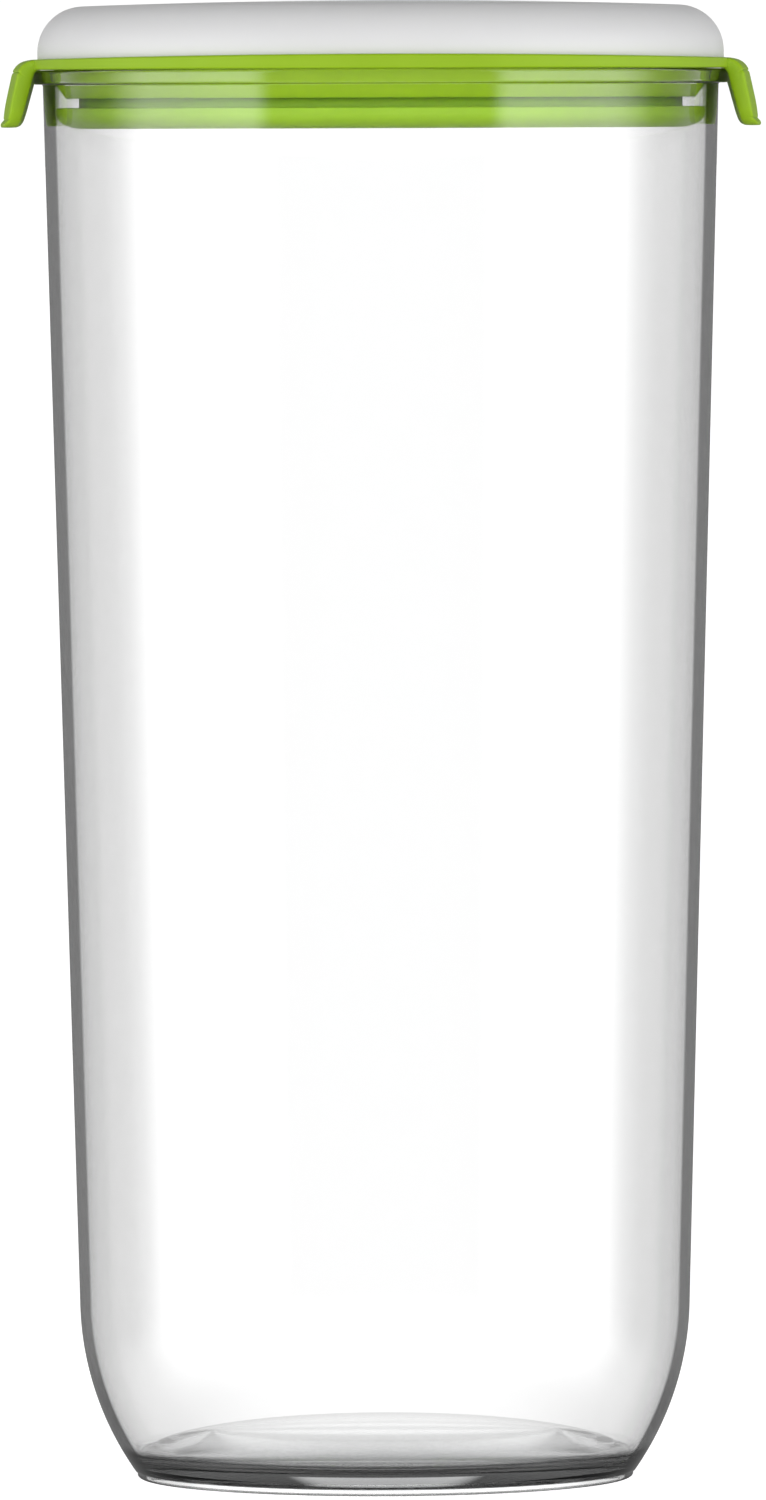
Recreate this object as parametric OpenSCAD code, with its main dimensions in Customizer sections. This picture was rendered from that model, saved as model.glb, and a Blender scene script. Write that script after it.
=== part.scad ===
// Round glass storage jar with a push-in snap lid: a green collar with two pull tabs, a lip gasket,
// a domed cap and a plate that closes the plug from below. Millimetres, +Z up, origin on the table
// under the jar's axis. Every round piece is a profile of (radius, height) points turned about Z.

/* [Jar] */
// Height of the jar from the table to the top of its rim
jar_h = 239.9; // [180:0.1:260]
// Outer diameter of the wall just under the rim bead
jar_d = 115; // [100:0.5:130]
// Thickness of the glass wall
wall = 2; // [1.6:0.1:2.4]
// Draft of the wall, in degrees from vertical
draft = 1.515; // [0.5:0.005:2]
// Radius of the curved heel between the wall and the foot
heel_r = 51.5; // [48:0.5:54]
// Angle from vertical at which the heel reaches the foot
heel_angle = 35; // [32:0.5:36]
// How far the foot ring is stepped in from the end of the heel
foot_step = 0.4; // [0.2:0.1:1]
// Height of the foot ring
foot_h = 1.2; // [1:0.1:1.6]
// Height of the rim bead that the lid snaps over
rim_h = 2.4; // [2:0.1:3]
// How far the rim bead stands out from the wall
rim_out = 1.6; // [1.2:0.05:2]
// Height of the inner floor at its edge
floor_z = 3.7; // [3.2:0.1:4.5]
// Rise of the inner floor from its edge to its centre
floor_rise = 6.2; // [4:0.1:7]
// Height of the shallow hollow under the base
punt_h = 2.8; // [2:0.1:3]

/* [Lid] */
// Thickness of the collar's flange at the front
flange_t = 2.4; // [2.2:0.1:3]
// How far the flange stands out past the rim bead
flange_out = 0.9; // [0.5:0.1:1.5]
// How far the flange's top edge dips towards the pull tabs
flange_dip = 0.65; // [0.3:0.05:0.9]
// Depth of the plug below the rim, down to the gasket's underside
plug_depth = 9.9; // [9:0.1:12]
// Gap between the plug and the glass
plug_gap = 0.1; // [0.06:0.01:0.2]
// Height of the domed cap above its seat
dome_h = 9.45; // [9:0.05:12]
// Radius of the domed cap's shoulder
dome_corner = 7.8; // [6:0.1:8]
// Thickness of the domed cap
dome_t = 1.6; // [1.2:0.1:2]

/* [Pull tabs] */
// Width of each pull tab
tab_w = 24; // [20:1:28]
// Length of each pull tab below its hinge line
tab_l = 9.6; // [8:0.1:11]
// Flare of the pull tab, in degrees from vertical
tab_flare = 13; // [10:0.5:15]
// Radius of the tab's lower corners
tab_corner = 4; // [2:0.5:5]
// Radius of the rolled edge that each tab hinges on
knuckle_r = 1.1; // [0.9:0.1:1.2]
// Gap between the rolled edge and its seat
knuckle_gap = 0.15; // [0.1:0.05:0.2]

/* [Hidden] */
$fn = 96;

glass = [0.82, 0.9, 0.9, 0.4];
lime = [0.6, 0.77, 0.24];
deep_lime = [0.5, 0.7, 0.18];
frost = [0.88, 0.88, 0.9];

// Jar: the outer wall runs straight down to the heel, whose arc ends on the foot.
rim_z = jar_h - rim_h;
wall_r = jar_d / 2;
heel_z = foot_h + heel_r * (sin(heel_angle) - sin(draft));
heel_top_r = wall_r - (rim_z - heel_z) * tan(draft);
heel_c = [heel_top_r - heel_r * cos(draft), heel_z + heel_r * sin(draft)];
rim_r = wall_r + rim_out;
rim_round = 0.6;
foot_r = heel_c[0] + heel_r * cos(heel_angle) - foot_step;
foot_round = 0.9;
bearing_w = 1.4;
floor_flat = 0.5;
inner_heel_r = heel_r - wall;
floor_r = heel_c[0] + sqrt(pow(inner_heel_r, 2) - pow(heel_c[1] - floor_z, 2));
punt_r = foot_r - foot_round - bearing_w;
punt_round = 0.6;

// Radius of the inner wall at height z, above the heel.
function bore_r(z) = heel_c[0] + (inner_heel_r + (z - heel_c[1]) * sin(draft)) / cos(draft);

// Lid: heights are stacked from the rim up and from the rim down.
seat_gap = 0.1;
flange_z = jar_h + seat_gap;
flange_top = flange_z + flange_t;
flange_r = rim_r + flange_out;
dome_z = flange_z + 1.3;
dome_gap = 0.1;
dome_r = rim_r - 0.7;
plug_bottom = jar_h - plug_depth;
lip_top = plug_bottom + 3.5;
web_z = lip_top + 1.6;
web_t = 1.7;
cone_z = web_z + 2.4;
plug_r = bore_r(cone_z) - plug_gap;
plug_wall = 1.75;
cone_r = plug_r - 1.85;
lip_r = bore_r(plug_bottom + 2) - plug_gap;
neck_r = plug_r - 4.05;
spigot_r = neck_r - 1.7;
gasket_gap = 0.05;
spigot_t = 1.6;
spigot_bottom = plug_bottom + 1;
bead_r = 0.35;
bead_z = flange_z - 1.2;

// Dome: the shoulder's arc runs on into a shallow crown with no kink.
crown_angle = 2;
shoulder_c = [dome_r - dome_corner, dome_z + dome_h - dome_corner];
crown_r = (shoulder_c[0] + dome_corner * sin(crown_angle)) / sin(crown_angle);
crown_c = shoulder_c[1] + dome_corner * cos(crown_angle) - crown_r * cos(crown_angle);
snap_ring_t = 1.3;

// Tabs: the hinge line runs along Y, just outside the rim bead.
hinge_x = rim_r + 2;
hinge_z = jar_h - 0.1;
tab_in = rim_r + 0.7;
tab_t = 2.8;

// Points on an arc about c, from angle a0 to a1, in n steps.
function arc(c, r, a0, a1, n) =
    [for (i = [0:n]) let (a = a0 + (a1 - a0) * i / n) c + r * [cos(a), sin(a)]];

// Points on an upright ellipse about c with half-axes rx and rz.
function oval(c, rx, rz, a0, a1, n) =
    [for (i = [0:n]) let (a = a0 + (a1 - a0) * i / n) c + [rx * cos(a), rz * sin(a)]];

module turned(points) {
    rotate_extrude() polygon(points);
}

module jar() {
    outside = concat(
        arc([foot_r - foot_round, foot_round], foot_round, -90, 0, 6),
        [[foot_r, foot_h]],
        arc(heel_c, heel_r, -heel_angle, -draft, 24),
        [[wall_r, rim_z]],
        [[rim_r, rim_z]],
        arc([rim_r - rim_round, jar_h - rim_round], rim_round, 0, 90, 5)
    );
    inside = concat(
        arc([bore_r(jar_h) + rim_round, jar_h - rim_round], rim_round, 90, 180, 5),
        arc(heel_c, inner_heel_r, -draft, asin((floor_z - heel_c[1]) / inner_heel_r), 24),
        oval([0, floor_z], floor_r - floor_flat, floor_rise, 0, 90, 20)
    );
    under = concat([[0, punt_h]], arc([punt_r - punt_round, punt_h - punt_round], punt_round, 90, 0, 5), [[punt_r, 0]]);
    color(glass) turned(concat(outside, inside, under));
}

// The flange's raised edge is trimmed by a wide cylinder, so it dips towards the tabs at both sides.
module flange_trim() {
    trim_r = pow(dome_r, 2) / (2 * flange_dip);
    translate([0, flange_r + 1, flange_top - trim_r])
        rotate([90, 0, 0])
            cylinder(r = trim_r, h = 2 * flange_r + 2, $fn = 256);
}

// A short ledge at each side carries the seat that the tab's rolled edge turns in.
module tab_ledge() {
    ledge_w = tab_w - 2;
    difference() {
        translate([dome_r + dome_gap, ledge_w / 2, 0])
            rotate([90, 0, 0])
                linear_extrude(ledge_w)
                    polygon([
                        [0, flange_z],
                        [0, flange_z + 1.6],
                        [1, flange_z + 1.55],
                        [1.9, flange_z + 1.4],
                        [hinge_x - dome_r - 0.6, flange_z]
                    ]);
        translate([hinge_x, tab_w / 2, hinge_z])
            rotate([90, 0, 0])
                cylinder(r = knuckle_r + knuckle_gap, h = tab_w);
    }
}

module lid_collar() {
    outer_wall = plug_r - plug_wall;
    profile = concat(
        arc([flange_r - 0.4, flange_z + 0.4], 0.4, -90, 0, 4),
        arc([flange_r - 0.5, flange_top - 0.5], 0.5, 0, 90, 4),
        [
            [dome_r + dome_gap, flange_top],
            [dome_r + dome_gap, dome_z],
            [outer_wall, dome_z],
            [outer_wall, bead_z + bead_r + 0.1],
            [outer_wall + bead_r + 0.1, bead_z],
            [outer_wall, bead_z - bead_r - 0.1],
            [outer_wall, web_z + web_t],
            [spigot_r, web_z + web_t],
            [spigot_r, flange_z - 1.2],
            [spigot_r - spigot_t, flange_z - 1.2],
            [spigot_r - spigot_t, spigot_bottom],
            [spigot_r, spigot_bottom],
            [spigot_r, web_z],
            [cone_r - 0.5, web_z],
            [cone_r, web_z + 0.35],
            [plug_r, cone_z],
            [plug_r, flange_z]
        ]
    );
    color(lime) {
        intersection() {
            turned(profile);
            flange_trim();
        }
        for (side = [0, 1]) mirror([side, 0, 0]) tab_ledge();
    }
}

module lip_gasket() {
    lip_round = [4.4, 2.5];
    color(deep_lime)
        turned(concat(
            [
                [spigot_r + gasket_gap, spigot_bottom],
                [neck_r, spigot_bottom],
                [neck_r, plug_bottom]
            ],
            oval([lip_r - lip_round[0], plug_bottom + lip_round[1]], lip_round[0], lip_round[1], -90, 0, 10),
            [
                [lip_r, lip_top],
                [neck_r, lip_top],
                [neck_r, web_z],
                [spigot_r + gasket_gap, web_z]
            ]
        ));
}

// A stepped disc that closes the plug. Its edge holds the gasket up and its middle presses into the spigot.
module plug_plate() {
    middle_r = spigot_r - spigot_t - 0.1;
    middle_t = 1.3;
    edge_r = neck_r - 0.1;
    color(frost)
        turned([
            [0, plug_bottom + 0.1],
            [edge_r, plug_bottom + 0.1],
            [edge_r, spigot_bottom],
            [middle_r, spigot_bottom],
            [middle_r, spigot_bottom + middle_t - 0.3],
            [middle_r - 0.3, spigot_bottom + middle_t],
            [0, spigot_bottom + middle_t]
        ]);
}

module dome_cap() {
    ring_r = plug_r - plug_wall - 0.08;
    ring_top = shoulder_c[1] + dome_corner - dome_t - 1;
    ring_bottom = web_z + web_t + 0.3;
    color(frost) {
        turned(concat(
            [[dome_r - dome_t, dome_z], [dome_r, dome_z]],
            arc(shoulder_c, dome_corner, 0, 90 - crown_angle, 14),
            arc([0, crown_c], crown_r, 90 - 0.75 * crown_angle, 90, 6),
            arc([0, crown_c], crown_r - dome_t, 90, 90 - crown_angle, 6),
            arc(shoulder_c, dome_corner - dome_t, 90 - crown_angle, 0, 10)
        ));
        turned([
            [ring_r, ring_bottom],
            [ring_r, bead_z - bead_r],
            [ring_r + bead_r, bead_z],
            [ring_r, bead_z + bead_r],
            [ring_r, ring_top + 1.2],
            [ring_r - snap_ring_t, ring_top + 1.2],
            [ring_r - snap_ring_t, ring_bottom]
        ]);
    }
}

// Front view of a tab, rounded at its two lower corners and drawn in the YZ plane.
module tab_outline() {
    square([tab_w - 2 * tab_corner, tab_l]);
    translate([-tab_corner, tab_corner]) square([tab_w, tab_l - tab_corner]);
    for (y = [0, tab_w - 2 * tab_corner]) translate([y, tab_corner]) circle(r = tab_corner);
}

module pull_tab() {
    out = tab_l * tan(tab_flare);
    bottom = hinge_z - tab_l;
    top = hinge_z - 0.1;
    profile = [
        [tab_in, top - 1.2],
        [tab_in + 0.8, top],
        [tab_in + tab_t, top],
        [tab_in + tab_t + 0.9, hinge_z - 0.35 * tab_l],
        [tab_in + tab_t + 1.45, hinge_z - 0.6 * tab_l],
        [tab_in + tab_t + 1.8, bottom + 1.3],
        [tab_in + tab_t + 1.65, bottom + 0.95],
        [tab_in + tab_t + 2.1, bottom + 0.3],
        [tab_in + tab_t + 2.1, bottom],
        [tab_in + out + 0.5, bottom],
        [tab_in + out, bottom + 0.5]
    ];
    intersection() {
        turned(profile);
        translate([tab_in - 5, tab_corner - tab_w / 2, bottom])
            rotate([90, 0, 90])
                linear_extrude(tab_t + 12) tab_outline();
    }
    translate([hinge_x, (tab_w - 2) / 2, hinge_z])
        rotate([90, 0, 0])
            cylinder(r = knuckle_r, h = tab_w - 2);
}

module right_pull_tab() {
    color(lime) pull_tab();
}

module left_pull_tab() {
    color(lime) mirror([1, 0, 0]) pull_tab();
}

jar();
lid_collar();
lip_gasket();
plug_plate();
dome_cap();
left_pull_tab();
right_pull_tab();
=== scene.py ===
"""A tall glass jar with a push-in lime-green snap lid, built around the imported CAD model."""

from math import acos, asin, atan2, cos, pi, radians, sin, sqrt, tan

import bpy
from mathutils import Matrix, Vector


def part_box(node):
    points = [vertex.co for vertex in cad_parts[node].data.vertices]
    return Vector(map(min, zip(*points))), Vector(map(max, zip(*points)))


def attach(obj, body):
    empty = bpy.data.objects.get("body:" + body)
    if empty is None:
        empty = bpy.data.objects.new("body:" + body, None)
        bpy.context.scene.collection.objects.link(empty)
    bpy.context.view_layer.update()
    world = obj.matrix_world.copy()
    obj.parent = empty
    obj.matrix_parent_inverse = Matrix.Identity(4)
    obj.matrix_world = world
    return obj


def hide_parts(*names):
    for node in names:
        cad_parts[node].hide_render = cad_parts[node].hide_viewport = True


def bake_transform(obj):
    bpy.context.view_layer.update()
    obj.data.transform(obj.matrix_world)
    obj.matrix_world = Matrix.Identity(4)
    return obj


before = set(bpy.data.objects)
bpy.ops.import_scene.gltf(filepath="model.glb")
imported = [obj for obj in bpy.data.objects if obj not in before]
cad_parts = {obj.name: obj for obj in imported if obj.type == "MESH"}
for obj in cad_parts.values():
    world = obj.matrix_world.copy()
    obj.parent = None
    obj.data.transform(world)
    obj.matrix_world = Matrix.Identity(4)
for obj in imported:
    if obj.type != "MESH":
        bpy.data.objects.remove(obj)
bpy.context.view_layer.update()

MM = 0.001
TAU = 2 * pi

# ---------------------------------------------------------------- sizes, in millimetres
# Corners of the CAD nodes' boxes come first. The other sizes follow part.scad, except on the pull tabs, where
# each is one bent sheet here.
jar_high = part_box("jar")[1] / MM
collar_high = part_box("lid_collar")[1] / MM
dome_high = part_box("dome_cap")[1] / MM
gasket_low, gasket_high = (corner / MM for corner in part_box("lip_gasket"))
plate_low, plate_high = (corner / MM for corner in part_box("plug_plate"))
tab_low, tab_high = (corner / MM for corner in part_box("right_pull_tab"))

# Jar
JAR_H = jar_high.z
RIM_R = jar_high.x
WALL = 2.0
DRAFT = radians(1.515)
RIM_H = 2.4
RIM_OUT = 1.6
RIM_ROUND = 0.6
HEEL_R = 51.5
HEEL_END = radians(35)
FOOT_H = 1.2
FOOT_STEP = 0.4
FOOT_ROUND = 0.9
BEARING_W = 1.4
PUNT_H = 2.8
PUNT_ROUND = 0.6
FLOOR_Z = 3.7
FLOOR_RISE = 6.2
FLOOR_FLAT = 0.5
FLOOR_FILLET_H = 1.6

WALL_R = RIM_R - RIM_OUT
RIM_Z = JAR_H - RIM_H
HEEL_Z = FOOT_H + HEEL_R * (sin(HEEL_END) - sin(DRAFT))
HEEL_TOP_R = WALL_R - (RIM_Z - HEEL_Z) * tan(DRAFT)
HEEL_C = (HEEL_TOP_R - HEEL_R * cos(DRAFT), HEEL_Z + HEEL_R * sin(DRAFT))
INNER_HEEL_R = HEEL_R - WALL
FOOT_R = HEEL_C[0] + HEEL_R * cos(HEEL_END) - FOOT_STEP
PUNT_R = FOOT_R - FOOT_ROUND - BEARING_W
FLOOR_R = HEEL_C[0] + sqrt(INNER_HEEL_R**2 - (HEEL_C[1] - FLOOR_Z) ** 2)


def bore_r(z):
    """Inner radius of the jar's wall at height z, above the heel."""
    return HEEL_C[0] + (INNER_HEEL_R + (z - HEEL_C[1]) * sin(DRAFT)) / cos(DRAFT)


# Lid: the flange and the cap stand on the rim, and the plug hangs below it.
SEAT_GAP = 0.1
FLANGE_Z = JAR_H + SEAT_GAP
FLANGE_R = collar_high.y
FLANGE_TOP = collar_high.z
FLANGE_DIP = 0.65
DOME_R = dome_high.x
DOME_TOP = dome_high.z
DOME_Z = DOME_TOP - 10.33
DOME_T = 1.6
DOME_GAP = 0.1
DOME_CORNER = 7.8
CROWN_ANGLE = radians(2)
CROWN_RISE = 0.88
PLUG_GAP = 0.1
PLUG_WALL = 1.75
PLUG_BOTTOM = gasket_low.z
PLATE_SEAT = PLUG_BOTTOM + 1.0
PLATE_GAP = 0.1
WEB_Z = gasket_high.z
WEB_T = 1.7
CONE_Z = WEB_Z + 2.4
PLUG_R = bore_r(CONE_Z) - PLUG_GAP
LIP_R = bore_r(PLUG_BOTTOM + 2) - PLUG_GAP
LIP_TOP = PLUG_BOTTOM + 3.5
LIP_HALF = (4.4, 2.5)
NECK_R = PLUG_R - 4.05
GASKET_GAP = 0.05
SPIGOT_R = NECK_R - 1.7
SPIGOT_T = 1.6
SNAP_RING_R = PLUG_R - 1.83
SNAP_RING_T = 1.3
SNAP_RING_Z = WEB_Z + 2.0

# Pull tabs
TAB_TOP = FLANGE_TOP - FLANGE_DIP
TAB_TIP = (tab_high.x, tab_low.z)
TAB_HALF_W = tab_high.y
TAB_CORNER = 3.6
TAB_EDGE = 0.5
TAB_ROOT_FLARE = 2.2
TAB_ROOT_DEPTH = 1.6

# Mesh detail
SEGMENTS = 256
FLAT_RINGS = 12
HEEL_RINGS = 60
FLOOR_RINGS = 48
PLATE_RINGS = 8
TAB_COLUMNS = 28
ON_AXIS = 1e-6
EDGE_SHARE = 0.49


# ---------------------------------------------------------------- profiles
def arc(centre, radius, start, end, steps):
    """Points (r, z) on an arc, both ends included; angles in radians."""
    return oval(centre, radius, radius, start, end, steps)


def oval(centre, half_r, half_z, start, end, steps):
    """Points (r, z) on an upright ellipse, both ends included; angles in radians."""
    angles = [start + (end - start) * i / steps for i in range(steps + 1)]
    return [(centre[0] + half_r * cos(a), centre[1] + half_z * sin(a)) for a in angles]


def between(start, end, steps):
    """Evenly spaced points from start to end, both left out."""
    return [tuple(a + (b - a) * i / steps for a, b in zip(start, end)) for i in range(1, steps)]


def rounded(corners, closed=True, steps=6):
    """Turns corners (r, z) or (r, z, radius) into points, with an arc where a radius is given. An arc takes
    at most half of each edge beside it."""
    points = []
    count = len(corners)
    for i, corner in enumerate(corners):
        here = Vector(corner[:2])
        radius = corner[2] if len(corner) > 2 else 0
        if radius <= 0 or (not closed and i in (0, count - 1)):
            points.append(tuple(here))
            continue
        back = Vector(corners[i - 1][:2]) - here
        ahead = Vector(corners[(i + 1) % count][:2]) - here
        half_turn = back.angle(ahead) / 2
        reach = min(radius / tan(half_turn), back.length * EDGE_SHARE, ahead.length * EDGE_SHARE)
        true_radius = reach * tan(half_turn)
        first = here + back.normalized() * reach
        last = here + ahead.normalized() * reach
        middle = (back.normalized() + ahead.normalized()).normalized()
        centre = here + middle * true_radius / sin(half_turn)
        start = atan2(first.y - centre.y, first.x - centre.x)
        end = atan2(last.y - centre.y, last.x - centre.x)
        if end - start > pi:
            end -= TAU
        if start - end > pi:
            end += TAU
        points += arc(centre, true_radius, start, end, steps)
    return points


def make_object(name, verts, faces, material):
    """A smooth-shaded mesh object in metres, from vertices in millimetres."""
    mesh = bpy.data.meshes.new(name)
    mesh.from_pydata([Vector(v) * MM for v in verts], [], faces)
    mesh.validate()
    mesh.shade_smooth()
    obj = bpy.data.objects.new(name, mesh)
    bpy.context.scene.collection.objects.link(obj)
    obj.data.materials.append(material)
    return obj


def lathe(name, profile, material, shape=None):
    """Turns a profile of (r, z) points about Z, with the solid on the profile's left. A profile that starts
    on the axis ends there too, and any other is a closed loop. shape, where given, moves each vertex."""
    verts = []
    rings = []
    for r, z in profile:
        if r < ON_AXIS:
            rings.append([len(verts)])
            verts.append((0, 0, z))
            continue
        rings.append(list(range(len(verts), len(verts) + SEGMENTS)))
        for k in range(SEGMENTS):
            a = TAU * k / SEGMENTS
            vert = (r * cos(a), r * sin(a), z)
            verts.append(shape(*vert) if shape else vert)
    pairs = list(zip(rings, rings[1:]))
    if profile[0][0] >= ON_AXIS:
        pairs.append((rings[-1], rings[0]))
    faces = []
    for low, high in pairs:
        for k in range(SEGMENTS):
            n = (k + 1) % SEGMENTS
            if len(low) == 1:
                faces.append((low[0], high[n], high[k]))
            elif len(high) == 1:
                faces.append((low[k], low[n], high[0]))
            else:
                faces.append((low[k], low[n], high[n], high[k]))
    obj = make_object(name, verts, faces, material)
    weigh = obj.modifiers.new("Normals", "WEIGHTED_NORMAL")
    weigh.keep_sharp = True
    return obj


# ---------------------------------------------------------------- shader nodes
NOISE_RANGE = (0.3, 0.7)


def node_material(name):
    """An empty node material, its node tree and its output node."""
    material = bpy.data.materials.new(name)
    material.use_nodes = True
    tree = material.node_tree
    tree.nodes.clear()
    output = tree.nodes.new("ShaderNodeOutputMaterial")
    return material, tree, output


def new_node(tree, kind, inputs=None, **settings):
    """Adds a node, sets its properties and its unlinked inputs."""
    node = tree.nodes.new(kind)
    for key, value in settings.items():
        setattr(node, key, value)
    for key, value in (inputs or {}).items():
        node.inputs[key].default_value = value
    return node


def feed(tree, node, slot, value):
    """Sets one input of a node to a socket or a number."""
    if isinstance(value, (int, float)):
        node.inputs[slot].default_value = value
    else:
        tree.links.new(value, node.inputs[slot])


def calc(tree, operation, *values):
    """The result of a math node on values that are each a socket or a number."""
    node = new_node(tree, "ShaderNodeMath", operation=operation)
    for slot, value in enumerate(values):
        feed(tree, node, slot, value)
    return node.outputs[0]


def times(tree, first, *others):
    """The product of values that are each a socket or a number."""
    for other in others:
        first = calc(tree, "MULTIPLY", first, other)
    return first


def ramp(tree, value, start, end, low, high):
    """A smooth step from low to high as value goes from start to end."""
    node = new_node(
        tree,
        "ShaderNodeMapRange",
        {"From Min": start, "From Max": end, "To Min": low, "To Max": high},
        interpolation_type="SMOOTHSTEP",
    )
    tree.links.new(value, node.inputs["Value"])
    return node.outputs["Result"]


def slope(tree, value, start, end, low, high):
    """A straight run from low to high as value goes from start to end, level outside."""
    node = new_node(
        tree,
        "ShaderNodeMapRange",
        {"From Min": start, "From Max": end, "To Min": low, "To Max": high},
    )
    tree.links.new(value, node.inputs["Value"])
    return node.outputs["Result"]


def pick(tree, choice, if_not, if_so):
    """if_so where choice is 1 and if_not where it is 0; each is a socket or a number."""
    node = new_node(tree, "ShaderNodeMix", data_type="FLOAT")
    tree.links.new(choice, node.inputs[0])
    feed(tree, node, 2, if_not)
    feed(tree, node, 3, if_so)
    return node.outputs[0]


def tint(tree, value, dark, light):
    """Mixes two colours by a 0..1 value."""
    node = new_node(tree, "ShaderNodeMix", data_type="RGBA")
    node.inputs[6].default_value = (*dark, 1)
    node.inputs[7].default_value = (*light, 1)
    tree.links.new(value, node.inputs[0])
    return node.outputs[2]


def noise(tree, scale, detail, stretch=(1, 1, 1)):
    """Noise in object space, with a scale in cycles per metre."""
    coords = tree.nodes.new("ShaderNodeTexCoord")
    mapping = new_node(tree, "ShaderNodeMapping", {"Scale": stretch})
    texture = new_node(tree, "ShaderNodeTexNoise", {"Scale": scale, "Detail": detail, "Roughness": 0.5})
    tree.links.new(coords.outputs["Object"], mapping.inputs["Vector"])
    tree.links.new(mapping.outputs["Vector"], texture.inputs["Vector"])
    return texture.outputs["Fac"]


def spread(tree, value, low, high):
    """Stretches the usual range of a noise to low..high."""
    return slope(tree, value, *NOISE_RANGE, low, high)


def bump(tree, value, strength, distance):
    """A bump normal from a height value; distance in metres."""
    node = new_node(tree, "ShaderNodeBump", {"Strength": strength, "Distance": distance})
    tree.links.new(value, node.inputs["Height"])
    return node.outputs["Normal"]


def height(tree):
    """The height of a point above the ground, in metres."""
    split = tree.nodes.new("ShaderNodeSeparateXYZ")
    coords = tree.nodes.new("ShaderNodeTexCoord")
    tree.links.new(coords.outputs["Object"], split.inputs["Vector"])
    return split.outputs["Z"]


def band(tree, z, start, end, low, high):
    """A smooth step from low to high between two heights in millimetres, where z is in metres."""
    return ramp(tree, z, start * MM, end * MM, low, high)


# ---------------------------------------------------------------- materials
# The glass's painted shade mixes CLEAR towards BLACK, and goes only on the outer skin.
OUTER_SKIN = "outer_skin"  # an attribute that is 1 on the jar's outer skin and 0 elsewhere
CLEAR = (1, 1, 1)
BLACK = (0.0, 0.0, 0.0)

# Painted shade: the share of the glass's colour left on the outer skin, by how far it turns from the eye (0
# is head-on)
SHADE_TURNING = (0.10, 0.58)
TURNED_SHADE_LEVEL = 0.50
EDGE_ON_SHADE = (0.722, 0.748)
EDGE_SHADE_LEVEL = 0.12
HEEL_EDGE_SHADE_LEVEL = 0.04
HEEL_SHADE_FADE = (12, 26)

# Painted shade at the base: heights in millimetres where the dark painted ring at the end of the heel, the
# foot and the painted dark line above it start or end, and how much of the glass's colour the painted ring
# leaves
SHADE_RING_START = (3.2, 3.4)
SHADE_RING_END = (5.0, 6.6)
SHADE_RING_LEVEL = 0.03
FOOT_END = (FOOT_H - 0.05, FOOT_H + 0.05)
SHADE_LINE_END = (FOOT_H + 0.2, FOOT_H + 0.35)
FOOT_SHADE_TURNED = (0.232, 0.268)

LIME = ((0.285, 0.475, 0.010), (0.305, 0.50, 0.014))
RUBBER_LIME = ((0.27, 0.47, 0.018), (0.29, 0.50, 0.024))
FROST = ((0.76, 0.76, 0.765), (0.79, 0.79, 0.795))
GLASS_DYE = (0.50, 0.51, 0.51, 1)
GLASS_DENSITY = 14


def plastic(name, colours, roughness):
    """Satin moulded lime plastic: faint mottling, uneven gloss and a fine moulded grain."""
    material, tree, output = node_material(name)
    shader = new_node(
        tree,
        "ShaderNodeBsdfPrincipled",
        {
            "IOR": 1.49,
            "Specular IOR Level": 0.25,
            "Subsurface Weight": 0.12,
            "Subsurface Radius": (0.8, 1.2, 0.2),
            "Subsurface Scale": MM,
        },
    )
    mottle = spread(tree, noise(tree, scale=90, detail=4), 0, 1)
    gloss = spread(tree, noise(tree, scale=220, detail=5), *roughness)
    grain = bump(tree, noise(tree, scale=2600, detail=2), 0.12, 0.04 * MM)
    tree.links.new(tint(tree, mottle, *colours), shader.inputs["Base Color"])
    tree.links.new(gloss, shader.inputs["Roughness"])
    tree.links.new(grain, shader.inputs["Normal"])
    tree.links.new(shader.outputs["BSDF"], output.inputs["Surface"])
    return material


def frosted(name):
    """Translucent white plastic with a fine satin surface."""
    material, tree, output = node_material(name)
    shader = new_node(
        tree,
        "ShaderNodeBsdfPrincipled",
        {
            "IOR": 1.47,
            "Subsurface Weight": 0.35,
            "Subsurface Radius": (1.6, 1.6, 1.7),
            "Subsurface Scale": MM,
        },
    )
    cloud = spread(tree, noise(tree, scale=35, detail=4), 0, 1)
    gloss = spread(tree, noise(tree, scale=300, detail=5), 0.36, 0.48)
    grain = bump(tree, noise(tree, scale=3200, detail=2), 0.15, 0.03 * MM)
    tree.links.new(tint(tree, cloud, *FROST), shader.inputs["Base Color"])
    tree.links.new(gloss, shader.inputs["Roughness"])
    tree.links.new(grain, shader.inputs["Normal"])
    tree.links.new(shader.outputs["BSDF"], output.inputs["Surface"])
    return material


def base_painted_shade(tree, facing):
    """How much of the glass's colour the outer skin keeps at the base, by height, under painted shade. A dark
    ring is painted at the heel's end. From the ring down to the foot the skin is painted dark except where it
    is seen head-on, with a painted dark line above the foot."""
    z = height(tree)
    ring = band(tree, z, *SHADE_RING_END, 1.0, 0.0)
    from_ring_up = band(tree, z, *SHADE_RING_START, 0.0, 1.0)
    above_foot = band(tree, z, *FOOT_END, 0.0, 1.0)
    shade_line = band(tree, z, *SHADE_LINE_END, 1.0, 0.0)
    shade_line_or_turned = calc(tree, "MAXIMUM", shade_line, ramp(tree, facing, *FOOT_SHADE_TURNED, 0.0, 1.0))
    # Painted shade: dark on the ring, fading above it; below it, dark on the line above the foot and where
    # the skin turns away.
    dark = pick(tree, from_ring_up, times(tree, above_foot, shade_line_or_turned), ring)
    return calc(tree, "MULTIPLY_ADD", dark, SHADE_RING_LEVEL - 1.0, 1.0)


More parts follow.
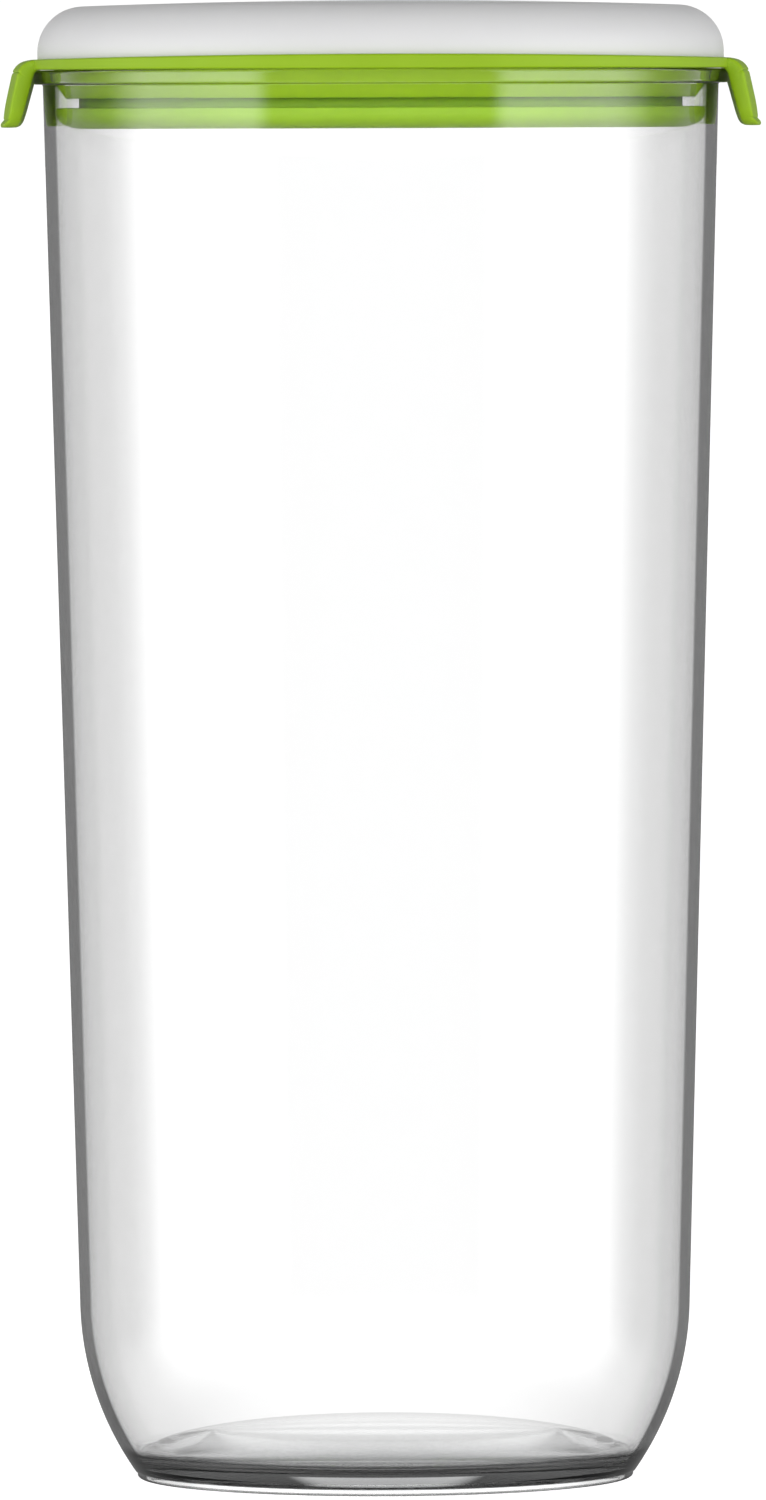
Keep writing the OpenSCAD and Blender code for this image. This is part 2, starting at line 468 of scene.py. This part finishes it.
def clear_glass(name):
    """Polished pressed glass, grey over long paths, with painted shade on its outer skin: darker as the skin
    turns from the eye, dark where the wall is seen along its length, and a dark ring and line at the base.
    """
    material, tree, output = node_material(name)
    shader = new_node(
        tree,
        "ShaderNodeBsdfPrincipled",
        {"IOR": 1.5, "Transmission Weight": 1.0, "Roughness": 0.0},
    )
    # Painted shade: the outer skin darkens as it turns from the eye and goes nearly black edge-on, blackest
    # low on the heel.
    facing = new_node(tree, "ShaderNodeLayerWeight", {"Blend": 0.5}).outputs["Facing"]
    turned_shade = slope(tree, facing, *SHADE_TURNING, 1.0, TURNED_SHADE_LEVEL)
    edge_shade_level = band(tree, height(tree), *HEEL_SHADE_FADE, HEEL_EDGE_SHADE_LEVEL, EDGE_SHADE_LEVEL)
    edge = pick(tree, ramp(tree, facing, *EDGE_ON_SHADE, 0.0, 1.0), 1.0, edge_shade_level)
    # Only the outer skin, hit from outside, gets the painted shade.
    skin = new_node(tree, "ShaderNodeAttribute", attribute_name=OUTER_SKIN).outputs["Fac"]
    backfacing = tree.nodes.new("ShaderNodeNewGeometry").outputs["Backfacing"]
    shaded = times(tree, skin, calc(tree, "SUBTRACT", 1.0, backfacing))
    clear = pick(tree, shaded, 1.0, times(tree, turned_shade, edge, base_painted_shade(tree, facing)))
    waves = bump(tree, noise(tree, scale=26, detail=2, stretch=(1, 1, 0.45)), 0.012, 0.4 * MM)
    dye = new_node(tree, "ShaderNodeVolumeAbsorption", {"Color": GLASS_DYE, "Density": GLASS_DENSITY})
    tree.links.new(tint(tree, clear, BLACK, CLEAR), shader.inputs["Base Color"])
    tree.links.new(waves, shader.inputs["Normal"])
    tree.links.new(shader.outputs["BSDF"], output.inputs["Surface"])
    tree.links.new(dye.outputs["Volume"], output.inputs["Volume"])
    return material


# ---------------------------------------------------------------- pieces
def make_jar(material):
    """One closed glass solid: hollowed base, foot, heel, wall, rim bead, bore and domed floor."""
    ceiling = [(PUNT_R * i / FLAT_RINGS, PUNT_H) for i in range(FLAT_RINGS)]
    foot = rounded(
        [
            ceiling[-1],
            (PUNT_R, PUNT_H, PUNT_ROUND),
            (PUNT_R, 0.0, 0.3),
            (FOOT_R, 0.0, FOOT_ROUND),
            (FOOT_R, FOOT_H, 0.25),
            (FOOT_R + FOOT_STEP, FOOT_H, 0.15),
        ],
        closed=False,
    )[1:-1]
    heel = arc(HEEL_C, HEEL_R, -HEEL_END, -DRAFT, HEEL_RINGS)
    wall = between(heel[-1], (WALL_R, RIM_Z), FLAT_RINGS)
    mouth_z = JAR_H - 10
    rim = rounded(
        [
            wall[-1],
            (WALL_R, RIM_Z, 0.3),
            (RIM_R, RIM_Z, 0.45),
            (RIM_R, JAR_H, RIM_ROUND),
            (bore_r(JAR_H), JAR_H, RIM_ROUND),
            (bore_r(mouth_z), mouth_z),
        ],
        closed=False,
    )[1:]
    bore_z = [mouth_z - (mouth_z - HEEL_C[1]) * i / FLAT_RINGS for i in range(1, FLAT_RINGS)]
    bore = [(bore_r(z), z) for z in bore_z]
    inner_end = asin((FLOOR_Z + FLOOR_FILLET_H - HEEL_C[1]) / INNER_HEEL_R)
    inner_heel = arc(HEEL_C, INNER_HEEL_R, -DRAFT, inner_end, HEEL_RINGS)
    floor = oval((0, FLOOR_Z), FLOOR_R - FLOOR_FLAT, FLOOR_RISE, 0.3, pi / 2, FLOOR_RINGS)
    floor_corner = (FLOOR_R - 0.55, FLOOR_Z + 0.35, 2.0)
    corner = rounded([inner_heel[-1], floor_corner, floor[0]], closed=False, steps=10)[1:-1]
    profile = ceiling + foot + heel + wall + rim + bore + inner_heel + corner + floor
    jar = lathe("jar_glass", profile, material)
    mark_outer_skin(jar)
    return jar


def mark_outer_skin(jar):
    """Marks the vertices of the jar's outer skin with 1, and those of its bore, floor and hollow with 0."""
    # This mark says where the glass gets its painted shade.
    mark = jar.data.attributes.new(OUTER_SKIN, "FLOAT", "POINT")
    for vertex, value in zip(jar.data.vertices, mark.data):
        z = vertex.co.z / MM
        r = vertex.co.xy.length / MM
        if z >= HEEL_C[1]:
            value.value = 1.0 if r > bore_r(z) + WALL / 2 else 0.0
            continue
        depth = HEEL_R - (Vector((r, z)) - Vector(HEEL_C)).length if r > HEEL_C[0] else HEEL_R
        value.value = 1.0 if depth < WALL / 2 or z < FOOT_H + 0.1 else 0.0


def flange_drop(x, y, z):
    """Lowers the flange's raised edge towards the pull tabs."""
    start = FLANGE_Z + 0.9
    if z <= start:
        return x, y, z
    share = min(1.0, (z - start) / (FLANGE_TOP - start))
    return x, y, z - share * FLANGE_DIP * (x / DOME_R) ** 2


def make_collar(material):
    """The ring that lies on the rim, its stepped plug, its web and the spigot that carries the gasket."""
    seat_r = DOME_R + DOME_GAP
    plug_in = PLUG_R - PLUG_WALL
    spigot_in = SPIGOT_R - SPIGOT_T
    web_top = WEB_Z + WEB_T
    spigot_top = FLANGE_Z - 1.2
    spigot_bottom = plate_low.z + 1.2
    profile = rounded(
        [
            (PLUG_R, FLANGE_Z, 0.2),
            (FLANGE_R, FLANGE_Z, 0.4),
            (FLANGE_R, FLANGE_TOP, 0.5),
            (seat_r, FLANGE_TOP, 0.25),
            (seat_r, DOME_Z),
            (plug_in, DOME_Z),
            (plug_in, web_top),
            (SPIGOT_R, web_top),
            (SPIGOT_R, spigot_top),
            (spigot_in, spigot_top),
            (spigot_in, spigot_bottom),
            (SPIGOT_R, spigot_bottom),
            (SPIGOT_R, WEB_Z),
            (PLUG_R - 1.85, WEB_Z, 0.35),
            (PLUG_R, CONE_Z, 0.25),
        ]
    )
    return lathe("lid_collar_ring", profile, material, shape=flange_drop)


def make_gasket(material):
    """The neck and the rounded sealing lip."""
    bore = SPIGOT_R + GASKET_GAP
    lip_centre = (LIP_R - LIP_HALF[0], PLUG_BOTTOM + LIP_HALF[1])
    recess = [(bore, PLATE_SEAT), (NECK_R, PLATE_SEAT), (NECK_R, PLUG_BOTTOM)]
    lip = oval(lip_centre, *LIP_HALF, -pi / 2, 0, 16)
    shelf = [lip[-1], (LIP_R, LIP_TOP, 0.25), (NECK_R, LIP_TOP, 0.2), (NECK_R, WEB_Z)]
    profile = recess + lip + rounded(shelf, closed=False)[1:] + [(bore, WEB_Z)]
    return lathe("sealing_gasket_lip", profile, material)


def make_plate(material):
    """The stepped disc that closes the plug from below."""
    edge = NECK_R - PLATE_GAP
    middle = SPIGOT_R - (SPIGOT_T + PLATE_GAP)
    low, high = plate_low.z, plate_high.z
    under = [(edge * i / PLATE_RINGS, low) for i in range(PLATE_RINGS)]
    over = [(middle * i / PLATE_RINGS, high) for i in range(PLATE_RINGS - 1, -1, -1)]
    steps = [(edge, low, 0.3), (edge, PLATE_SEAT), (middle, PLATE_SEAT), (middle, high, 0.3)]
    side = rounded([under[-1], *steps, over[0]], closed=False)[1:-1]
    return lathe("plug_plate_disc", under + side + over, material)


def make_dome(material):
    """The domed cap: a shallow crown, a rounded shoulder and the ring that clips into the plug."""
    shoulder = (DOME_R - DOME_CORNER, DOME_TOP - CROWN_RISE - DOME_CORNER)
    crown_r = (shoulder[0] + DOME_CORNER * sin(CROWN_ANGLE)) / sin(CROWN_ANGLE)
    crown = (0, shoulder[1] + DOME_CORNER * cos(CROWN_ANGLE) - crown_r * cos(CROWN_ANGLE))
    crown_start = pi / 2 - CROWN_ANGLE
    inner_corner = DOME_CORNER - DOME_T
    inner_crown_end = pi / 2 - 0.9 * CROWN_ANGLE
    ring_in = SNAP_RING_R - SNAP_RING_T
    ring_start = acos((SNAP_RING_R - shoulder[0]) / inner_corner)
    ring_top = shoulder[1] + inner_corner * sin(ring_start) - 0.2
    # From the axis under the crown, round the snap ring and the edge, and back to the axis over the top
    profile = (
        [(0, crown[1] + crown_r - DOME_T)]
        + arc(crown, crown_r - DOME_T, pi / 2, inner_crown_end, 10)[1:]
        + [(ring_in, ring_top), (ring_in, SNAP_RING_Z), (SNAP_RING_R, SNAP_RING_Z)]
        + arc(shoulder, inner_corner, ring_start, 0, 12)
        + [(DOME_R - DOME_T, DOME_Z), (DOME_R - 0.3, DOME_Z), (DOME_R, DOME_Z + 0.3)]
        + arc(shoulder, DOME_CORNER, 0, crown_start, 28)
        + arc(crown, crown_r, crown_start, pi / 2, 16)[1:-1]
        + [(0, crown[1] + crown_r)]
    )
    return lathe("dome_cap_shell", profile, material)


def tab_path():
    """Outer and inner points (r, z) of the tab, in the plane through its middle, paired from root to tip.
    The outer skin leaves the flange's top, turns down over its edge, steps in and droops to a lipped tip."""
    tip_r, tip_z = TAB_TIP
    outer = [
        (FLANGE_R - 1.7, TAB_TOP - 0.02),
        (FLANGE_R - 0.9, TAB_TOP - 0.04),
        (FLANGE_R + 0.1, TAB_TOP - 0.12),
        (FLANGE_R + 1.1, TAB_TOP - 0.42),
        (FLANGE_R + 1.9, TAB_TOP - 0.95),
        (FLANGE_R + 2.45, TAB_TOP - 1.65),
        (FLANGE_R + 2.6, TAB_TOP - 2.05),
        (FLANGE_R + 2.45, TAB_TOP - 2.2),
        (FLANGE_R + 2.75, TAB_TOP - 2.5),
        (FLANGE_R + 3.1, TAB_TOP - 4.0),
        (FLANGE_R + 3.55, TAB_TOP - 6.0),
        (FLANGE_R + 3.95, TAB_TOP - 8.0),
        (FLANGE_R + 4.2, tip_z + 1.6),
        (FLANGE_R + 4.1, tip_z + 1.35),
        (tip_r - 0.1, tip_z + 0.75),
        (tip_r, tip_z + 0.3),
        (tip_r - 0.2, tip_z),
    ]
    under = FLANGE_Z + 0.05
    inner = [
        (FLANGE_R - 1.7, under + 0.3),
        (FLANGE_R - 1.1, under + 0.2),
        (FLANGE_R - 0.75, under - 0.05),
        (FLANGE_R - 0.45, under - 0.4),
        (FLANGE_R - 0.2, under - 0.85),
        (FLANGE_R - 0.05, under - 1.3),
        (FLANGE_R + 0.08, under - 1.75),
        (FLANGE_R + 0.17, under - 2.1),
        (FLANGE_R + 0.25, under - 2.5),
        (FLANGE_R + 0.6, under - 3.7),
        (FLANGE_R + 1.05, under - 5.3),
        (FLANGE_R + 1.5, under - 6.9),
        (FLANGE_R + 1.85, tip_z + 1.5),
        (FLANGE_R + 1.95, tip_z + 1.1),
        (FLANGE_R + 2.15, tip_z + 0.6),
        (FLANGE_R + 2.4, tip_z + 0.25),
        (FLANGE_R + 2.9, tip_z),
    ]
    return outer, inner


def smooth_path(points, per_span=4):
    """Catmull-Rom points through the given ones."""
    given = [Vector(point) for point in points]
    spans = zip([given[0]] + given, given, given[1:], given[2:] + [given[-1]])
    result = []
    for p0, p1, p2, p3 in spans:
        for k in range(per_span):
            t = k / per_span
            line = 2 * p1 + (p2 - p0) * t
            square = 2 * p0 - 5 * p1 + 4 * p2 - p3
            cube = 3 * p1 - p0 - 3 * p2 + p3
            result.append(0.5 * (line + square * t * t + cube * t**3))
    return result + given[-1:]


def tab_half_width(depth):
    """Half width of the tab at a depth below its top: a flare at the root and round lower corners."""
    flare = TAB_ROOT_FLARE * max(0.0, 1 - depth / TAB_ROOT_DEPTH) ** 2
    into_corner = max(0.0, TAB_CORNER - (TAB_TOP - TAB_TIP[1] - depth))
    cut = TAB_CORNER - sqrt(max(0.0, TAB_CORNER**2 - into_corner**2))
    return TAB_HALF_W - cut + flare


def tab_loop(out, back, side):
    """One closed loop of vertices round the tab, from a pair of profile points. The sheet thins towards its
    two edges and follows the lid's curve."""
    middle = (out + back) / 2
    half = tab_half_width(TAB_TOP - (out.y + back.y) / 2)
    skins = []
    for skin in (out, back):
        line = []
        for k in range(TAB_COLUMNS + 1):
            across = half * sin((-1 + 2 * k / TAB_COLUMNS) * pi / 2)
            near_edge = max(0.0, abs(across) - (half - TAB_EDGE)) / TAB_EDGE
            point = middle + (skin - middle) * sqrt(max(0.0, 1 - near_edge**2))
            angle = across / FLANGE_R
            line.append((side * point.x * cos(angle), point.x * sin(angle), point.y))
        skins.append(line)
    return skins[0] + skins[1][-2:0:-1]


def make_tab(name, side, material):
    """A pull tab that flows out of the flange and droops over the rim. side is 1 for the right and -1 for the
    left, whose faces run the other way round."""
    verts = []
    loops = []
    for out, back in zip(*(smooth_path(points) for points in tab_path())):
        ring = tab_loop(out, back, side)
        loops.append(list(range(len(verts), len(verts) + len(ring))))
        verts += ring
    size = len(loops[0])
    faces = []
    for a, b in zip(loops, loops[1:]):
        for k in range(size):
            n = (k + 1) % size
            faces.append((a[k], a[n], b[n], b[k]) if side > 0 else (a[k], b[k], b[n], a[n]))
    for loop, flip in ((loops[0], side > 0), (loops[-1], side < 0)):
        cap = [(loop[k], loop[k + 1], loop[-k - 1], loop[-k]) for k in range(1, TAB_COLUMNS - 1)]
        cap.append((loop[0], loop[1], loop[-1]))
        cap.append((loop[TAB_COLUMNS - 1], loop[TAB_COLUMNS + 1], loop[TAB_COLUMNS]))
        faces += [face[::-1] if flip else face for face in cap]
    obj = make_object(name, verts, faces, material)
    smooth = obj.modifiers.new("Smooth", "SUBSURF")
    smooth.levels = smooth.render_levels = 1
    return obj


# ---------------------------------------------------------------- studio
CAMERA_DISTANCE = 2.81
EYE_HEIGHT = 0.234
AIM_HEIGHT = 0.1240
LENS = 396.0
ROLL = radians(-0.2)


def aimed(place, aim):
    """A matrix at place that looks at aim, with the picture upright."""
    return Matrix.Translation(place) @ (aim - place).to_track_quat("-Z", "Y").to_matrix().to_4x4()


def make_camera():
    """A long lens level with the lid, looking slightly down."""
    data = bpy.data.cameras.new("camera")
    data.lens = LENS
    data.sensor_width = 36
    data.clip_end = 200
    camera = bpy.data.objects.new("camera", data)
    bpy.context.scene.collection.objects.link(camera)
    eye = Vector((0, -CAMERA_DISTANCE, EYE_HEIGHT))
    camera.matrix_world = aimed(eye, Vector((0, 0, AIM_HEIGHT))) @ Matrix.Rotation(ROLL, 4, "Z")
    bpy.context.scene.camera = camera


# Brightness of the surround, by what looks at it
PAPER = 1.05  # the camera
SKY_LOW = 1.75  # light that falls on the object: level, from overhead, from below
SKY_HIGH = 0.24
GROUND = 0.85
MIRRORED = 0.20  # gloss: the room, the camera's side of it, its soft boxes, and its floor's share
FRONT_MIRRORED = 0.12
SOFTBOX = 2.1
FLOOR_MIRRORED = 0.35
BACKDROP = 1.18  # straight through glass: level and steeply down
UNDERSIDE = 1.3
BOUNCED_LEVEL = 0.70  # the backdrop's share after a bounce inside the glass: level, rising, steep
BOUNCED_RISING = 1.15
BOUNCED_STEEP = 0.5
LIT_FRONT = 2.9  # light that falls on a piece through glass: front, back, and its share from below
LIT_BACK = 0.7
LIT_BELOW = 0.6

# Where one brightness gives way to another, as y or z of the ray's direction. y is 1 straight behind the
# object and -1 at the camera, and z is 1 overhead.
SKY_Z = (0.0, 0.85)
GROUND_Z = (-0.35, 0.0)
BOX_END_Y = (-0.1, 0.35)
BOX_START_Y = (-0.80, -0.70)
BOX_BOTTOM_Z = (-0.5, -0.1)
BOX_TOP_Z = (0.3, 0.55)
ROOM_FLOOR_Z = (-0.9, -0.2)
UNDERSIDE_Z = (-0.8, -0.3)
RISING_Z = (0.0, 0.25)
STEEP_Z = (0.3, 0.6)
BOUNCED_BACK_Y = (0.5, 0.75)
BOUNCED_DOWN_BACK_Y = (0.25, 0.55)
BOUNCED_DOWN_Z = (-0.25, -0.12)
BOUNCED_UP_Z = (0.03, 0.2)
LIT_Y = (-0.9, 0.7)
LIT_BELOW_Z = (-0.7, -0.1)


def falling_light(tree, z):
    """Light on the object: brightest from level directions, dim from overhead."""
    sky = ramp(tree, z, *SKY_Z, SKY_LOW, SKY_HIGH)
    return times(tree, sky, ramp(tree, z, *GROUND_Z, GROUND / SKY_LOW, 1.0))


def mirrored_room(tree, y, z):
    """What gloss shows: a grey room, darker below and behind the camera, with a soft box at each side."""
    past_camera = ramp(tree, y, *BOX_START_Y, 0.0, 1.0)
    across = times(tree, ramp(tree, y, *BOX_END_Y, 1.0, 0.0), past_camera)
    upright = times(tree, ramp(tree, z, *BOX_BOTTOM_Z, 0.0, 1.0), ramp(tree, z, *BOX_TOP_Z, 1.0, 0.0))
    room = ramp(tree, z, *ROOM_FLOOR_Z, FLOOR_MIRRORED, 1.0)
    room = times(tree, room, pick(tree, past_camera, FRONT_MIRRORED, MIRRORED))
    return calc(tree, "MULTIPLY_ADD", times(tree, across, upright), SOFTBOX, room)


def through_glass(tree, path, y, z, mirrored):
    """What shows through glass. The eye sees the bright backdrop. A ray that bounced inside the glass sees it
    behind the object and above, and elsewhere the mirrored room. Light that falls on a piece through glass is
    brightest from the front."""
    straight = ramp(tree, z, *UNDERSIDE_Z, UNDERSIDE, BACKDROP)
    share = ramp(tree, z, *RISING_Z, BOUNCED_LEVEL, BOUNCED_RISING)
    share = times(tree, share, ramp(tree, z, *STEEP_Z, 1.0, BOUNCED_STEEP))
    not_down = ramp(tree, z, *BOUNCED_DOWN_Z, 0.0, 1.0)
    down_back = ramp(tree, y, *BOUNCED_DOWN_BACK_Y, 0.0, 1.0)
    back = pick(tree, not_down, down_back, ramp(tree, y, *BOUNCED_BACK_Y, 0.0, 1.0))
    back_or_up = calc(tree, "MAXIMUM", back, ramp(tree, z, *BOUNCED_UP_Z, 0.0, 1.0))
    bounced = pick(tree, back_or_up, mirrored, times(tree, straight, share))
    seen = pick(tree, calc(tree, "GREATER_THAN", path.outputs["Glossy Depth"], 0.5), straight, bounced)
    lit = ramp(tree, y, *LIT_Y, LIT_FRONT, LIT_BACK)
    lit = times(tree, lit, ramp(tree, z, *LIT_BELOW_Z, LIT_BELOW, 1.0))
    return pick(tree, calc(tree, "GREATER_THAN", path.outputs["Diffuse Depth"], 0.5), seen, lit)


def make_world():
    """A white paper surround to the camera, whose brightness for light, gloss and glass is set apart."""
    world = bpy.data.worlds.new("studio")
    bpy.context.scene.world = world
    world.use_nodes = True
    tree = world.node_tree
    tree.nodes.clear()
    output = tree.nodes.new("ShaderNodeOutputWorld")
    coords = tree.nodes.new("ShaderNodeTexCoord")
    split = tree.nodes.new("ShaderNodeSeparateXYZ")
    tree.links.new(coords.outputs["Generated"], split.inputs["Vector"])
    y, z = split.outputs["Y"], split.outputs["Z"]
    path = tree.nodes.new("ShaderNodeLightPath")
    mirrored = mirrored_room(tree, y, z)
    glass = through_glass(tree, path, y, z, mirrored)
    value = pick(tree, path.outputs["Is Glossy Ray"], falling_light(tree, z), mirrored)
    value = pick(tree, path.outputs["Is Transmission Ray"], value, glass)
    value = pick(tree, path.outputs["Is Camera Ray"], value, PAPER)
    surround = new_node(tree, "ShaderNodeBackground", {"Strength": 1.0})
    tree.links.new(value, surround.inputs["Color"])
    tree.links.new(surround.outputs["Background"], output.inputs["Surface"])


FLOOR_HALF = 60_000
FLOOR_LEVEL = -0.3
FLOOR_GLOW = 0.72
FLOOR_PALE = ((0.80, 0.80, 0.80), (0.82, 0.82, 0.82))


def make_floor():
    """A plain pale floor that glows a little, like a light table. It shows only to the camera."""
    material, tree, output = node_material("floor_white")
    shader = new_node(
        tree,
        "ShaderNodeBsdfPrincipled",
        {
            "Roughness": 0.9,
            "Specular IOR Level": 0.0,
            "Emission Color": (1, 1, 1, 1),
            "Emission Strength": FLOOR_GLOW,
        },
    )
    colour = tint(tree, noise(tree, scale=3, detail=2), *FLOOR_PALE)
    tree.links.new(colour, shader.inputs["Base Color"])
    tree.links.new(shader.outputs["BSDF"], output.inputs["Surface"])
    signs = ((-1, -1), (1, -1), (1, 1), (-1, 1))
    corners = [(x * FLOOR_HALF, y * FLOOR_HALF, FLOOR_LEVEL) for x, y in signs]
    floor = make_object("floor", corners, [(0, 1, 2, 3)], material)
    floor.visible_transmission = False
    floor.visible_glossy = False
    floor.visible_diffuse = False


FILL_SIZE = (2.2, 1.2)
FILL_PLACE = (0, -2.4, 0.3)  # in metres, from the middle of the jar's rim
FILL_BRIGHTNESS = 1.1


def make_lights():
    """A broad soft fill from the front, which itself is never seen."""
    data = bpy.data.lights.new("front_fill", "AREA")
    data.shape = "RECTANGLE"
    data.size, data.size_y = FILL_SIZE
    data.energy = FILL_BRIGHTNESS * pi * data.size * data.size_y
    obj = bpy.data.objects.new("front_fill", data)
    bpy.context.scene.collection.objects.link(obj)
    aim = Vector((0, 0, JAR_H * MM))
    obj.matrix_world = aimed(aim + Vector(FILL_PLACE), aim)
    obj.visible_camera = False
    obj.visible_transmission = False
    obj.visible_glossy = False


# ---------------------------------------------------------------- build
def replace_nodes():
    """Builds every piece and hides the CAD node it stands for. The jar and lid pieces go on their bodies; the
    pull tabs stay in place, unparented.
    """
    lime = plastic("lime_plastic", LIME, (0.34, 0.46))
    rubber = plastic("lime_rubber", RUBBER_LIME, (0.42, 0.55))
    cap = frosted("frosted_plastic")
    glass = clear_glass("glass")
    jar = make_jar(glass)
    jar.visible_shadow = False
    pieces = [
        (jar, "jar", "jar", "glass"),
        (make_collar(lime), "lid", "lid_collar", "lime_plastic"),
        (make_gasket(rubber), "lid", "lip_gasket", "lime_rubber"),
        (make_plate(cap), "lid", "plug_plate", "frosted_plastic"),
        (make_dome(cap), "lid", "dome_cap", "frosted_plastic"),
    ]
    for piece, body, node, slot in pieces:
        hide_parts(node)
        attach(piece, body)
    for word, side in (("left", -1), ("right", 1)):
        tab = make_tab(f"{word}_pull_tab_sheet", side, lime)
        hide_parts(f"{word}_pull_tab")
        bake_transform(tab)


def set_view():
    """Plain colour handling, denoising and enough bounces for glass."""
    scene = bpy.context.scene
    scene.view_settings.view_transform = "Standard"
    scene.cycles.use_denoising = True
    scene.cycles.max_bounces = 24
    scene.cycles.transmission_bounces = 24
    scene.cycles.glossy_bounces = 12
    scene.cycles.transparent_max_bounces = 16
    scene.cycles.caustics_reflective = False


make_camera()
make_world()
make_floor()
make_lights()
replace_nodes()
set_view()
